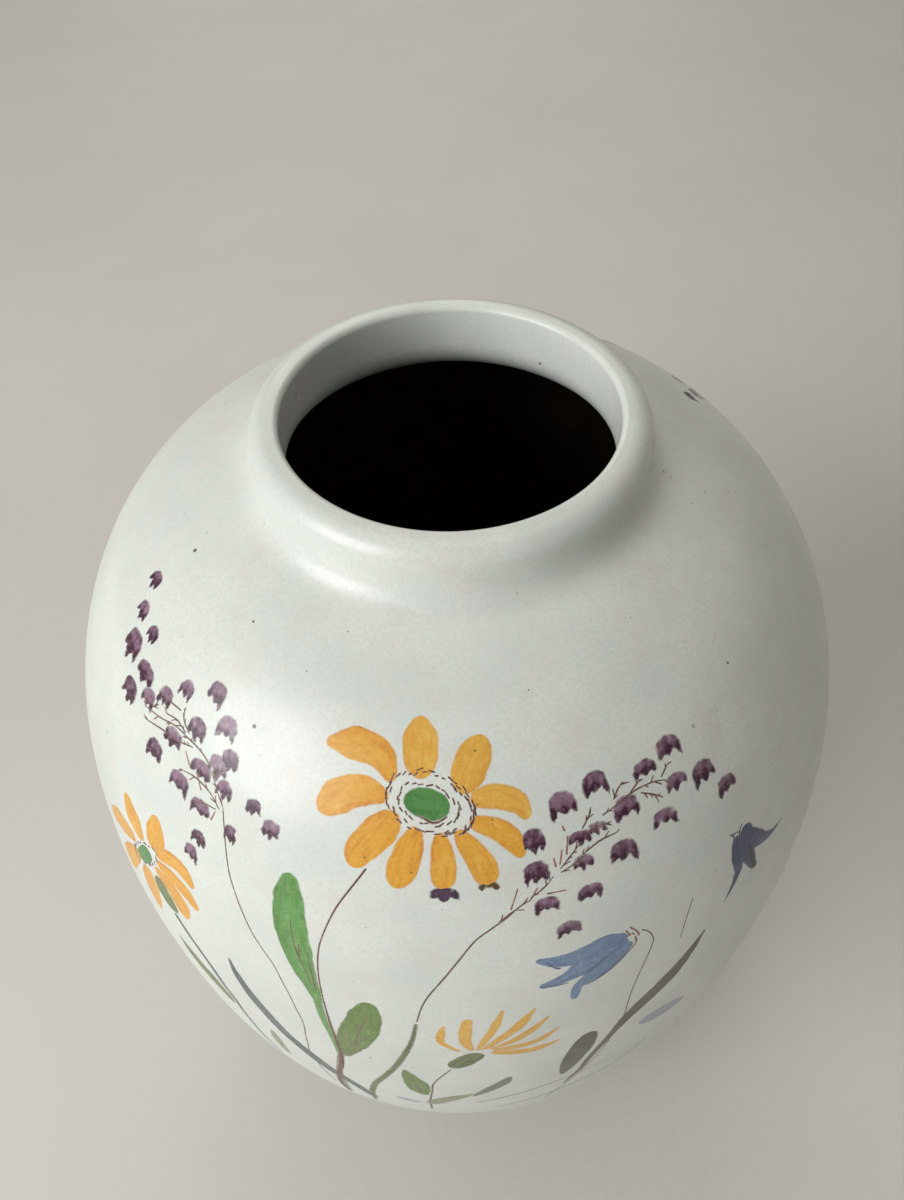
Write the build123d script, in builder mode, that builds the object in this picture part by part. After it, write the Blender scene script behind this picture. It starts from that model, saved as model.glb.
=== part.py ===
from build123d import *
import os

os.makedirs("parts", exist_ok=True)

# A large hand-made flower vase: an egg-shaped earthenware pot with a short rolled collar.
# It is built as the potter builds it. A lower bowl and a shoulder dome are luted together at
# the belly, a collar is luted over the shoulder's opening and a foot ring under the bowl, and
# then the pot gets its coats: white glaze outside, dark glaze inside, white under the base.
# Millimetres, +Z up. The origin is the middle of the foot's resting face, and the pot is round
# about Z, so every piece is half a section, drawn with X as radius and Y as height and revolved.

# Driving dimensions
height = 305.0
belly_radius = 118.0
belly_height = 150.0
wall = 7.0  # clay and glaze together, at the belly
glaze = 0.5

# Outside of the body. A spread or shoulder point is where the curve bends round, and a rise is
# the height up to which, or from which, the belly runs nearly upright.
spread_radius = 104.0
spread_height = 20.0
lower_rise = 72.0
upper_rise = 230.0
shoulder_radius = 102.0
shoulder_height = 276.0
crease_radius = 56.0  # where the shoulder turns up into the collar
crease_height = 289.5
cove_radius = 50.5
cove_height = 291.1

# Collar
lip_outer_radius = 48.6
collar_rise = 294.0
collar_straight = 299.5  # height above which the collar's outside is upright
mouth_radius = 41.2
mouth_length = 9.6  # straight length of the opening, below the lip's rounding
lip_inner_rounding = 1.2
lip_outer_rounding = 5.0  # the lip is rolled over outwards
throat_radius = 46.6  # where the white glaze stops and the dark glaze begins
throat_height = 284.5
throat_bend_radius = 45.0
throat_bend_height = 288.5
throat_rise = 289.5
lap = 1.5  # how far the white glaze runs under the throat's lower edge

# Inside of the body
floor_radius = 58.0
floor_height = 15.0
inner_spread_radius = 96.0
inner_spread_height = 18.0
inner_lower_rise = 75.0
inner_upper_rise = 226.0
inner_shoulder_radius = 96.0
inner_shoulder_height = 270.0

# Foot
foot_radius = 72.0
foot_width = 12.0
foot_height = 7.0
foot_flare = 1.5  # how much the foot's sides lean out as they rise
foot_rounding = 1.2
recess_height = 5.0
bare_height = 2.0  # height of the foot's edge that is wiped clean of glaze

# Joints between the clay pieces
seam_height = 142.0
collar_seat_height = 287.0

foot_bore = foot_radius - foot_width
foot_joint = recess_height + glaze
mouth_bottom = height - lip_inner_rounding - mouth_length
reach = 2 * belly_radius  # past the pot's edge, for cutting bands out of the section


# The pot's half section, with a coat of this thickness taken off it
def half_section(coat):
    outer_belly = belly_radius - coat
    inner_belly = belly_radius - wall + coat
    lip_radius = lip_outer_radius - coat
    bore_radius = mouth_radius + coat
    top = height - coat
    bottom = floor_height - coat
    ceiling = recess_height + coat
    with BuildSketch() as half:
        with BuildLine():
            foot = Polyline((0, 0), (foot_radius - coat, 0), (foot_radius + foot_flare - coat, foot_height))
            lower_flank = Bezier(foot @ 1, (spread_radius - coat / 2, spread_height + coat),
                (outer_belly, lower_rise), (outer_belly, belly_height))
            upper_flank = Bezier(lower_flank @ 1, (outer_belly, upper_rise),
                (shoulder_radius - coat, shoulder_height - coat / 2), (crease_radius, crease_height - coat))
            cove = Bezier(upper_flank @ 1, (cove_radius, cove_height - coat),
                (lip_radius, collar_rise), (lip_radius, collar_straight))
            Polyline(cove @ 1, (lip_radius, top), (0, top), (0, 0))
        make_face()
        with BuildLine():
            floor_line = Line((0, bottom), (floor_radius, bottom))
            lower_wall = Bezier(floor_line @ 1, (inner_spread_radius + coat / 2, inner_spread_height - coat),
                (inner_belly, inner_lower_rise), (inner_belly, belly_height))
            upper_wall = Bezier(lower_wall @ 1, (inner_belly, inner_upper_rise),
                (inner_shoulder_radius + coat, inner_shoulder_height + coat / 2),
                (throat_radius + coat, throat_height + coat))
            throat = Bezier(upper_wall @ 1, (throat_bend_radius + coat, throat_bend_height),
                (bore_radius, throat_rise), (bore_radius, mouth_bottom))
            Polyline(throat @ 1, (bore_radius, top), (0, top), (0, bottom))
        make_face(mode=Mode.SUBTRACT)
        with BuildLine():
            Polyline((0, 0), (foot_bore + coat, 0), (foot_bore - foot_flare + coat, ceiling),
                (0, ceiling), (0, 0))
        make_face(mode=Mode.SUBTRACT)
    return half.sketch


# The finished pot, coats included
with BuildSketch() as section:
    add(half_section(0))
    lip = section.vertices().filter_by(lambda corner: corner.Y > height - glaze)
    fillet(lip.sort_by(Axis.X)[0], lip_inner_rounding)
    lip = section.vertices().filter_by(lambda corner: corner.Y > height - glaze)
    fillet(lip.sort_by(Axis.X)[-1], lip_outer_rounding)
    foot_edges = section.vertices().filter_by(lambda corner: corner.Y < foot_rounding)
    fillet(foot_edges, foot_rounding)

# The foot's edge is wiped before firing, so its clay is bare
with BuildSketch() as bare_rim:
    add(section.sketch)
    with Locations((foot_bore - foot_flare, 0)):
        Rectangle(foot_width + 2 * foot_flare, 2 * bare_height, align=(Align.MIN, Align.CENTER),
            mode=Mode.INTERSECT)

# The clay is what the coats leave
with BuildSketch() as clay:
    add(half_section(glaze))
    clay_lip = clay.vertices().filter_by(lambda corner: corner.Y > height - 2 * glaze)
    fillet(clay_lip.sort_by(Axis.X)[0], lip_inner_rounding - glaze)
    clay_lip = clay.vertices().filter_by(lambda corner: corner.Y > height - 2 * glaze)
    fillet(clay_lip.sort_by(Axis.X)[-1], lip_outer_rounding - glaze)
    add(section.sketch, mode=Mode.INTERSECT)
    add(bare_rim.sketch)

with BuildSketch() as coats:
    add(section.sketch)
    add(clay.sketch, mode=Mode.SUBTRACT)

# The pocket's outline runs through the middle of the clay, so it takes in just the dark glaze.
# Its top corner leaves the white glaze its lap round the throat's lower edge.
middle_floor = (floor_height + foot_joint) / 2
middle_spread = (spread_radius + inner_spread_radius) / 2
middle_belly = belly_radius - wall / 2
middle_shoulder_radius = (shoulder_radius + inner_shoulder_radius) / 2
middle_shoulder_height = (shoulder_height + inner_shoulder_height) / 2
middle_crease = (crease_radius + throat_radius) / 2
lap_radius = throat_radius + lap
with BuildSketch() as pocket:
    with BuildLine():
        middle_line = Line((0, middle_floor), (floor_radius + wall / 2, middle_floor))
        middle_lower = Bezier(middle_line @ 1, (middle_spread, inner_spread_height),
            (middle_belly, lower_rise), (middle_belly, belly_height))
        middle_upper = Bezier(middle_lower @ 1, (middle_belly, upper_rise),
            (middle_shoulder_radius, middle_shoulder_height), (middle_crease, collar_seat_height))
        Polyline(middle_upper @ 1, (lap_radius, collar_seat_height), (lap_radius, inner_shoulder_height),
            (0, inner_shoulder_height), (0, middle_floor))
    make_face()

# Clay pieces, each a band of the clay's section

with BuildPart() as foot_ring:
    with BuildSketch(Plane.XZ):
        add(clay.sketch)
        Rectangle(reach, foot_joint, align=(Align.MIN, Align.MIN), mode=Mode.INTERSECT)
    revolve(axis=Axis.Z)
foot_ring.part.label = "foot_ring"
export_step(foot_ring.part, "parts/foot_ring.step")

with BuildPart() as lower_bowl:
    with BuildSketch(Plane.XZ):
        add(clay.sketch)
        with Locations((0, foot_joint)):
            Rectangle(reach, seam_height - foot_joint, align=(Align.MIN, Align.MIN), mode=Mode.INTERSECT)
    revolve(axis=Axis.Z)
lower_bowl.part.label = "lower_bowl"
export_step(lower_bowl.part, "parts/lower_bowl.step")

with BuildPart() as shoulder_dome:
    with BuildSketch(Plane.XZ):
        add(clay.sketch)
        with Locations((0, seam_height)):
            Rectangle(reach, collar_seat_height - seam_height, align=(Align.MIN, Align.MIN),
                mode=Mode.INTERSECT)
    revolve(axis=Axis.Z)
shoulder_dome.part.label = "shoulder_dome"
export_step(shoulder_dome.part, "parts/shoulder_dome.step")

with BuildPart() as neck_collar:
    with BuildSketch(Plane.XZ):
        add(clay.sketch)
        with Locations((0, collar_seat_height)):
            Rectangle(reach, height, align=(Align.MIN, Align.MIN), mode=Mode.INTERSECT)
    revolve(axis=Axis.Z)
neck_collar.part.label = "neck_collar"
export_step(neck_collar.part, "parts/neck_collar.step")

# Glazes: the white coat over the outside, the lip and the throat, the dark coat inside, and the
# white coat under the base

with BuildPart() as outer_glaze:
    with BuildSketch(Plane.XZ):
        add(coats.sketch)
        add(pocket.sketch, mode=Mode.SUBTRACT)
        Rectangle(foot_bore + foot_flare, foot_height, align=(Align.MIN, Align.MIN), mode=Mode.SUBTRACT)
    revolve(axis=Axis.Z)
outer_glaze.part.label = "outer_glaze"
export_step(outer_glaze.part, "parts/outer_glaze.step")

with BuildPart() as inner_glaze:
    with BuildSketch(Plane.XZ):
        add(coats.sketch)
        add(pocket.sketch, mode=Mode.INTERSECT)
    revolve(axis=Axis.Z)
inner_glaze.part.label = "inner_glaze"
export_step(inner_glaze.part, "parts/inner_glaze.step")

with BuildPart() as base_glaze:
    with BuildSketch(Plane.XZ):
        add(coats.sketch)
        Rectangle(foot_bore + foot_flare, foot_height, align=(Align.MIN, Align.MIN), mode=Mode.INTERSECT)
    revolve(axis=Axis.Z)
base_glaze.part.label = "base_glaze"
export_step(base_glaze.part, "parts/base_glaze.step")
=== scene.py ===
import math
import random
from bisect import bisect_right

import bpy
from mathutils import Matrix, Vector, geometry, noise
from mathutils.bvhtree import BVHTree
from mathutils.interpolate import poly_3d_calc


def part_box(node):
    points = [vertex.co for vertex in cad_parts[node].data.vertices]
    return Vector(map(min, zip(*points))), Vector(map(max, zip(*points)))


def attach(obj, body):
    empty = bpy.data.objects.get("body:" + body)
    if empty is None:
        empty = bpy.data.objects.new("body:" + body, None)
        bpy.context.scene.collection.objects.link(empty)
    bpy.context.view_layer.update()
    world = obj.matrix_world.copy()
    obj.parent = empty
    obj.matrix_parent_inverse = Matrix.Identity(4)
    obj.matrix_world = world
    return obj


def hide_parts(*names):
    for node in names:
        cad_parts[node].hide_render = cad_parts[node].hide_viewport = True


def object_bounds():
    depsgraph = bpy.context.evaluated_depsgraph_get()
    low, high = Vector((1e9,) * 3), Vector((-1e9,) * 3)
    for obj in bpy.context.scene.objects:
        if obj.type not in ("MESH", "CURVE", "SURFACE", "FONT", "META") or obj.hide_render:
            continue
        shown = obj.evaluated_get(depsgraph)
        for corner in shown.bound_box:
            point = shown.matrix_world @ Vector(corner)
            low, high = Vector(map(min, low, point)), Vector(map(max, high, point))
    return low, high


# A white glazed pot with a short rolled collar, dark inside, painted by brush with daisies,
# heather, bluebells and leaves. Brush marks are placed as (turn, climb): turn is degrees round
# the pot from the front, to the right, and climb is millimetres up the wall from the belly.

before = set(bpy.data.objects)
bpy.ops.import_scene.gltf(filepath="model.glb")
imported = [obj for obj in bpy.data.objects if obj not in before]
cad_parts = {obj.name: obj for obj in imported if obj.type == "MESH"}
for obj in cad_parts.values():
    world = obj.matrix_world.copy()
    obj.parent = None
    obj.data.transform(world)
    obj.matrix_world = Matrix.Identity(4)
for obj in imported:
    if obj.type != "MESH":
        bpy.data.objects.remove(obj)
cadLow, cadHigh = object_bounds()
mm = 0.001
rng = random.Random(7)
print("frame loaded", [round(v, 3) for v in cadHigh])


def clearSelection():
    if bpy.context.object and bpy.context.object.mode != "OBJECT":
        bpy.ops.object.mode_set(mode="OBJECT")
    bpy.ops.object.select_all(action="DESELECT")


def pick(piece):
    clearSelection()
    piece.select_set(True)
    bpy.context.view_layer.objects.active = piece


def applyModifier(piece, kind, values):
    pick(piece)
    modifier = piece.modifiers.new(kind.title(), kind)
    for key, value in values.items():
        setattr(modifier, key, value)
    bpy.ops.object.modifier_apply(modifier=modifier.name)


clearSelection()

# ---- materials


def tone(red, green, blue):  # a colour given as red, green and blue from 0 to 255
    return tuple((v / 255 / 12.92 if v < 11 else ((v / 255 + 0.055) / 1.055) ** 2.4)
                 for v in (red, green, blue)) + (1,)


class Wires:
    # a short way to add nodes and join them
    def __init__(self, tree):
        self.tree = tree
        self.tree.nodes.clear()
        self.count = 0

    def add(self, kind, **settings):
        node = self.tree.nodes.new("ShaderNode" + kind)
        node.location = (self.count * 190 - 1200, (self.count % 4) * -170)
        self.count += 1
        for key, value in settings.items():
            setattr(node, key, value)
        return node

    def join(self, source, target):
        self.tree.links.new(source, target)

    def noise(self, where, scale, detail=3, rough=0.55):
        node = self.add("TexNoise")
        self.join(where, node.inputs["Vector"])
        node.inputs["Scale"].default_value = scale
        node.inputs["Detail"].default_value = detail
        node.inputs["Roughness"].default_value = rough
        return node.outputs["Fac"]

    def ramp(self, value, low, high, out=(0, 1)):
        node = self.add("MapRange", interpolation_type="SMOOTHSTEP")
        self.join(value, node.inputs["Value"])
        node.inputs["From Min"].default_value = low
        node.inputs["From Max"].default_value = high
        node.inputs["To Min"].default_value = out[0]
        node.inputs["To Max"].default_value = out[1]
        return node.outputs["Result"]

    def math(self, how, a, b):
        node = self.add("Math", operation=how)
        for socket, value in zip(node.inputs, (a, b)):
            if isinstance(value, (int, float)):
                socket.default_value = value
            else:
                self.join(value, socket)
        return node.outputs["Value"]

    def mix(self, factor, a, b):
        node = self.add("Mix", data_type="RGBA")
        for socket, value in zip((node.inputs[0], node.inputs[6], node.inputs[7]), (factor, a, b)):
            if isinstance(value, (int, float, tuple)):
                socket.default_value = value
            else:
                self.join(value, socket)
        return node.outputs[2]

    def cells(self, where, scale):
        node = self.add("TexVoronoi")
        self.join(where, node.inputs["Vector"])
        node.inputs["Scale"].default_value = scale
        return node.outputs

    def split(self, colour):
        node = self.add("SeparateColor")
        self.join(colour, node.inputs["Color"])
        return node.outputs

    def stretch(self, where, scale):
        node = self.add("Mapping")
        self.join(where, node.inputs["Vector"])
        node.inputs["Scale"].default_value = scale
        return node.outputs["Vector"]

    def bump(self, height, distance, normal=None):
        node = self.add("Bump")
        self.join(height, node.inputs["Height"])
        node.inputs["Distance"].default_value = distance
        if normal is not None:
            self.join(normal, node.inputs["Normal"])
        return node.outputs["Normal"]

    def finish(self, colour, roughness, normal, settings):
        shader = self.add("BsdfPrincipled")
        output = self.add("OutputMaterial")
        self.join(colour, shader.inputs["Base Color"])
        self.join(roughness, shader.inputs["Roughness"])
        self.join(normal, shader.inputs["Normal"])
        for key, value in settings.items():
            shader.inputs[key].default_value = value
        self.join(shader.outputs["BSDF"], output.inputs["Surface"])


def newMaterial(name):
    material = bpy.data.materials.new(name)
    material.use_nodes = True
    return material, Wires(material.node_tree)


glazeLook = {
    "white": tone(226, 229, 222),
    "cool": tone(214, 222, 215),  # where the glaze lies thicker
    "warm": tone(222, 217, 210),
    "grain": tone(206, 208, 200),
    "speck": tone(78, 70, 58),
    "cloudScale": 38,
    "patchScale": 95,
    "patchDepth": 0.75,
    "grainScale": 1300,
    "grainDepth": 0.55,
    "speckScale": 115,
    "speckCells": (0.66, 0.72),  # only the cells past this hold a speck
    "speckSize": (0.026, 0.062),  # as a share of a cell
    "speckDepth": (0.25, 0.95),
    "glossScale": 60,
    "hollowScale": 30,
    "hollowDepth": 0.0011,  # slow hollows left by the hands, in metres
    "rippleScale": 420,
    "pitScale": 260,
    "skinDepth": 0.00003,  # its ripples and pits, in metres
    "roughness": (0.27, 0.37),
    "ior": 1.5,
}


def makeGlazeGroup():
    look = glazeLook
    group = bpy.data.node_groups.new("whiteGlaze", "ShaderNodeTree")
    for name, kind in (("Colour", "Color"), ("Roughness", "Float"), ("Normal", "Vector")):
        group.interface.new_socket(name, in_out="OUTPUT", socket_type="NodeSocket" + kind)
    w = Wires(group)
    spot = w.add("TexCoord").outputs["Object"]
    thick = w.ramp(w.noise(spot, look["cloudScale"], 4), 0.35, 0.68)
    patches = w.ramp(w.noise(spot, look["patchScale"], 3, 0.6), 0.45, 0.75, (0, look["patchDepth"]))
    grain = w.ramp(w.noise(spot, look["grainScale"], 2, 0.7), 0.3, 0.75, (0, look["grainDepth"]))
    colour = w.mix(thick, look["white"], look["cool"])
    colour = w.mix(patches, colour, look["warm"])
    colour = w.mix(grain, colour, look["grain"])
    cells = w.cells(spot, look["speckScale"])  # small iron specks, in about a third of the cells
    chance = w.split(cells["Color"])
    near = w.math("SUBTRACT", w.ramp(chance["Green"], 0, 1, look["speckSize"]), cells["Distance"])
    speck = w.math("MULTIPLY", w.ramp(near, -0.012, 0.02), w.ramp(chance["Red"], *look["speckCells"]))
    speck = w.math("MULTIPLY", speck, w.ramp(chance["Blue"], 0, 1, look["speckDepth"]))
    colour = w.mix(speck, colour, look["speck"])
    roughness = w.ramp(w.noise(spot, look["glossScale"], 3), 0.3, 0.7, look["roughness"])
    normal = w.bump(w.noise(spot, look["hollowScale"], 1), look["hollowDepth"])
    normal = w.bump(w.noise(spot, look["rippleScale"], 2), look["skinDepth"], normal)
    pits = w.ramp(w.cells(spot, look["pitScale"])["Distance"], 0.02, 0.07)
    normal = w.bump(pits, look["skinDepth"], normal)
    out = w.tree.nodes.new("NodeGroupOutput")
    w.join(colour, out.inputs["Colour"])
    w.join(roughness, out.inputs["Roughness"])
    w.join(normal, out.inputs["Normal"])
    return group


glazeGroup = makeGlazeGroup()


def addGlaze(w):
    node = w.add("Group")
    node.node_tree = glazeGroup
    return node.outputs["Colour"], node.outputs["Roughness"], node.outputs["Normal"]


def makeWhiteGlaze():
    material, w = newMaterial("white_glaze")
    colour, roughness, normal = addGlaze(w)
    w.finish(colour, roughness, normal, {"IOR": glazeLook["ior"]})
    return material


darkLook = {
    "body": tone(52, 42, 26),
    "thin": tone(70, 56, 36),
    "fleck": tone(96, 78, 52),
    "cloudScale": 45,
    "fleckScale": 700,
    "unevenScale": 240,
    "unevenDepth": 0.0002,
    "glossScale": 80,
    "roughness": (0.3, 0.45),
}


def makeDarkGlaze():
    look = darkLook
    material, w = newMaterial("dark_glaze")
    spot = w.add("TexCoord").outputs["Object"]
    colour = w.mix(w.ramp(w.noise(spot, look["cloudScale"], 4), 0.3, 0.7), look["body"], look["thin"])
    colour = w.mix(w.ramp(w.noise(spot, look["fleckScale"], 2), 0.62, 0.75), colour, look["fleck"])
    roughness = w.ramp(w.noise(spot, look["glossScale"], 3), 0.3, 0.7, look["roughness"])
    normal = w.bump(w.noise(spot, look["unevenScale"], 3), look["unevenDepth"])
    w.finish(colour, roughness, normal, {"IOR": glazeLook["ior"]})
    return material


clayLook = {
    "light": tone(206, 186, 156),
    "dark": tone(186, 164, 134),
    "grit": tone(120, 96, 72),
    "cloudScale": 160,
    "gritScale": 900,
    "gritDepth": 0.7,
    "rings": (30, 30, 2600),  # fine rings left by the turning tool
    "roughScale": 1500,
    "relief": 0.0002,  # depth of the rings and of the rough face, in metres
    "glossScale": 400,
    "roughness": (0.75, 0.92),
    "ior": 1.45,
}


def makeClay():
    look = clayLook
    material, w = newMaterial("buff_clay")
    spot = w.add("TexCoord").outputs["Object"]
    colour = w.mix(w.ramp(w.noise(spot, look["cloudScale"], 5, 0.7), 0.3, 0.7), look["light"], look["dark"])
    grit = w.ramp(w.cells(spot, look["gritScale"])["Distance"], 0.1, 0.22, (look["gritDepth"], 0))
    colour = w.mix(grit, colour, look["grit"])
    normal = w.bump(w.noise(spot, look["roughScale"], 3), look["relief"])
    normal = w.bump(w.noise(w.stretch(spot, look["rings"]), 1, 2), look["relief"], normal)
    roughness = w.ramp(w.noise(spot, look["glossScale"], 2), 0.3, 0.7, look["roughness"])
    w.finish(colour, roughness, normal, {"IOR": look["ior"]})
    return material


# Each paint: its body colour, the deep colour along one side and in streaks, the pale colour where
# the brush ran dry, how strong the streaks are and how far it thins out to the glaze.
paintLook = {
    "sun_yellow": ((226, 168, 64), (204, 128, 44), (236, 194, 104), 0.5, 0.12),
    "gold_yellow": ((226, 176, 78), (206, 142, 52), (236, 200, 118), 0.45, 0.15),
    "pale_yellow": ((228, 180, 80), (208, 146, 50), (236, 206, 136), 0.5, 0.4),
    "eye_green": ((84, 138, 74), (52, 104, 54), (126, 160, 100), 0.4, 0.2),
    "leaf_green": ((104, 154, 84), (76, 124, 56), (146, 180, 118), 0.6, 0.25),
    "olive_green": ((108, 136, 68), (82, 104, 44), (148, 168, 108), 0.6, 0.25),
    "moss_green": ((112, 128, 76), (76, 90, 50), (150, 162, 114), 0.7, 0.25),
    "olive_wash": ((150, 156, 124), (118, 126, 92), (190, 194, 166), 0.6, 0.4),
    "grey_blade": ((92, 104, 104), (66, 78, 80), (132, 142, 138), 0.6, 0.2),
    "dark_blade": ((84, 82, 62), (60, 58, 42), (112, 110, 88), 0.5, 0.15),
    "grey_wash": ((112, 114, 108), (84, 86, 82), (158, 160, 154), 0.6, 0.3),
    "lavender_wash": ((168, 172, 186), (138, 142, 164), (204, 206, 210), 0.6, 0.5),
    "bell_blue": ((122, 144, 172), (92, 114, 152), (164, 180, 198), 0.6, 0.25),
    "deep_blue": ((66, 74, 112), (44, 50, 82), (96, 104, 134), 0.6, 0.12),
    "ink_blue": ((34, 36, 52), (22, 24, 38), (60, 64, 84), 0.4, 0.1),
    "heather": ((150, 118, 138), (64, 28, 50), (176, 150, 164), 0.15, 0.2),
    "dark_purple": ((84, 58, 84), (56, 36, 56), (124, 92, 122), 0.7, 0.05),
    "brown_line": ((104, 62, 52), (72, 42, 38), (146, 104, 88), 0.5, 0.3),
    "red_line": ((150, 84, 54), (112, 58, 42), (184, 130, 96), 0.5, 0.3),
    "olive_brown": ((96, 78, 40), (68, 50, 30), (140, 122, 76), 0.5, 0.2),
    "iron_black": ((70, 62, 52), (48, 42, 36), (110, 100, 86), 0.4, 0.1),
}


paintGrain = {
    "streaks": (0.2, 0.95, 1),  # brush streaks, long the way the brush went
    "blotScale": 330,
    "gritScale": 1150,  # ground pigment, some of it coarse
    "gritDepth": 0.5,
    "gritPale": 0.35,
    "speckScale": 300,  # specks that came through the paint in the fire
    "speckDepth": 0.7,
    "thinScale": 520,
    "bleedScale": 1500,
    "bleed": 0.35,  # how unevenly the paint's edge bleeds
    "sideDepth": 0.34,  # how much darker a mark is along one side
    "startDepth": 0.22,  # and where the brush was set down
    "edgeDepth": 0.4,  # and where paint gathers at its edge
}


def makePaint(name):
    body, deep, pale, streakShare, thinShare = paintLook[name]
    grain = paintGrain
    material, w = newMaterial(name)
    glaze, roughness, normal = addGlaze(w)
    spot = w.add("TexCoord").outputs["Object"]
    pigment = w.add("Attribute", attribute_name="pigment").outputs["Fac"]
    across = w.add("Attribute", attribute_name="across").outputs["Fac"]
    tipward = w.add("Attribute", attribute_name="tipward").outputs["Fac"]
    lie = w.add("Attribute", attribute_name="lie").outputs["Vector"]  # mm along, across, a seed
    streaks = w.noise(w.stretch(lie, grain["streaks"]), 1, 3, 0.55)
    blots = w.noise(spot, grain["blotScale"], 3, 0.6)
    grit = w.noise(spot, grain["gritScale"], 2, 0.75)
    if name == "heather":  # its dabs say themselves where they are dark
        side = w.ramp(across, 0, 1)
    else:
        side = w.ramp(across, 0.15, 0.95, (0, grain["sideDepth"]))
    deepness = w.math("ADD", w.ramp(streaks, 0.42, 0.72, (0, streakShare)), side)
    deepness = w.math("ADD", deepness, w.ramp(tipward, 0.0, 0.35, (grain["startDepth"], 0)))
    deepness = w.math("ADD", deepness, w.ramp(pigment, 0.45, 1.0, (grain["edgeDepth"], 0)))
    deepness = w.math("MINIMUM", deepness, 1.0)
    colour = w.mix(deepness, tone(*body), tone(*deep))
    dry = w.math("MULTIPLY", w.ramp(blots, 0.5, 0.74, (0, 0.85)), w.ramp(streaks, 0.2, 0.6, (1, 0.2)))
    colour = w.mix(dry, colour, tone(*pale))
    colour = w.mix(w.ramp(grit, 0.54, 0.74, (0, grain["gritDepth"])), colour, tone(*deep))
    colour = w.mix(w.ramp(grit, 0.3, 0.46, (grain["gritPale"], 0)), colour, tone(*pale))
    cells = w.cells(spot, grain["speckScale"])
    chosen = w.ramp(w.split(cells["Color"])["Red"], 0.6, 0.7)
    speck = w.math("MULTIPLY", w.ramp(cells["Distance"], 0.05, 0.12, (grain["speckDepth"], 0)), chosen)
    colour = w.mix(speck, colour, tone(*(v * 0.5 for v in deep)))
    thin = w.ramp(w.noise(spot, grain["thinScale"], 2), 0.45, 0.8, (0, thinShare))
    cover = w.math("MULTIPLY", pigment, w.math("SUBTRACT", 1.0, thin))
    rim = w.math("ADD", w.noise(spot, grain["bleedScale"], 2, 0.7), -0.5)
    cover = w.ramp(w.math("ADD", cover, w.math("MULTIPLY", rim, grain["bleed"])), 0.12, 0.78)
    colour = w.mix(cover, glaze, colour)
    w.finish(colour, roughness, normal, {"IOR": glazeLook["ior"]})
    return material


paints = {name: makePaint(name) for name in paintLook}
whiteGlaze = makeWhiteGlaze()
darkGlaze = makeDarkGlaze()
clay = makeClay()
coverings = {"foot_ring": clay, "lower_bowl": clay, "shoulder_dome": clay, "neck_collar": clay,
             "base_glaze": whiteGlaze}
for nodeName, material in coverings.items():
    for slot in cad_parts[nodeName].material_slots:
        slot.material = material
print("materials ready")

# ---- the pot's two coats

pot = {
    "belly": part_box("outer_glaze")[1].x / mm,
    "bellyHeight": 150,
    "top": cadHigh.z / mm,
    "mouth": 41.2,
    "glazeLine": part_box("outer_glaze")[0].z / mm,
    "coat": 0.5,  # thickness of a coat of glaze
    "inside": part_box("inner_glaze")[1].x / mm - 0.5,
    "floorIn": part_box("inner_glaze")[0].z / mm + 0.5,
    "spins": 208,
    "finest": 11,  # steps in each stretch of the outline
    "longest": 45,  # mm, past which a stretch is halved
    "uneven": 0.0005,  # how far the hand-thrown wall may swell, in metres
}


def straight(a, b):
    return (a, (a[0] + (b[0] - a[0]) / 3, a[1] + (b[1] - a[1]) / 3),
            (b[0] - (b[0] - a[0]) / 3, b[1] - (b[1] - a[1]) / 3), b)


belly, top, mouth = pot["belly"], pot["top"], pot["mouth"]
lowerFlank = ((73.5, 7), (104, 20), (belly, 72), (belly, pot["bellyHeight"]))
upperFlank = ((belly, pot["bellyHeight"]), (belly, 230), (102, 276), (56, 289.5))
cove = ((56, 289.5), (50.5, 291.1), (48.6, 294), (48.6, top - 5))
skinOutline = [  # radius and height in mm: start, pull, pull, end
    straight((72.4, pot["glazeLine"]), (73.5, 7)),
    lowerFlank,
    upperFlank,
    cove,
    ((48.6, top - 5), (48.6, top - 2.2), (46.4, top), (43.6, top)),  # the lip, rolled over outwards
    ((43.6, top), (43.2, top), (42.8, top), (42.4, top)),
    ((42.4, top), (41.7, top), (mouth, top - 0.5), (mouth, top - 1.2)),
    straight((mouth, top - 1.2), (mouth, 294.2)),
    ((mouth, 294.2), (mouth, 290), (43.4, 287.4), (46.6, 284.5)),
]
linerOutline = [
    ((46.6, 284.5), (96, 270), (pot["inside"], 226), (pot["inside"], pot["bellyHeight"])),
    ((pot["inside"], pot["bellyHeight"]), (pot["inside"], 75), (96, 18), (58, pot["floorIn"])),
    straight((58, pot["floorIn"]), (0, pot["floorIn"])),
]


def halve(run):
    a, b, c, d = (Vector(p) for p in run)
    ab, bc, cd = (a + b) / 2, (b + c) / 2, (c + d) / 2
    abc, bcd = (ab + bc) / 2, (bc + cd) / 2
    middle = (abc + bcd) / 2
    return [(a, ab, abc, middle), (middle, bcd, cd, d)]


def shorten(runs):
    done = []
    for run in runs:
        if (Vector(run[0]) - Vector(run[3])).length > pot["longest"]:
            done += shorten(halve(run))
        else:
            done.append(run)
    return done


def drawOutline(name, runs):
    runs = shorten(runs)
    bpy.ops.curve.primitive_bezier_curve_add(enter_editmode=False)
    outline = bpy.context.object
    outline.name = name
    spline = outline.data.splines[0]
    spline.bezier_points.add(len(runs) - 1)
    spline.resolution_u = pot["finest"]
    for point in spline.bezier_points:
        point.handle_left_type = point.handle_right_type = "FREE"
    for i, run in enumerate(runs):
        start, end = spline.bezier_points[i], spline.bezier_points[i + 1]
        places = [Vector((p[0] * mm, 0, p[1] * mm)) for p in run]
        start.co, start.handle_right, end.handle_left, end.co = places
        if i == 0:
            start.handle_left = places[0]
        end.handle_right = places[3]
    pick(outline)
    bpy.ops.object.convert(target="MESH")
    return bpy.context.object


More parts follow.
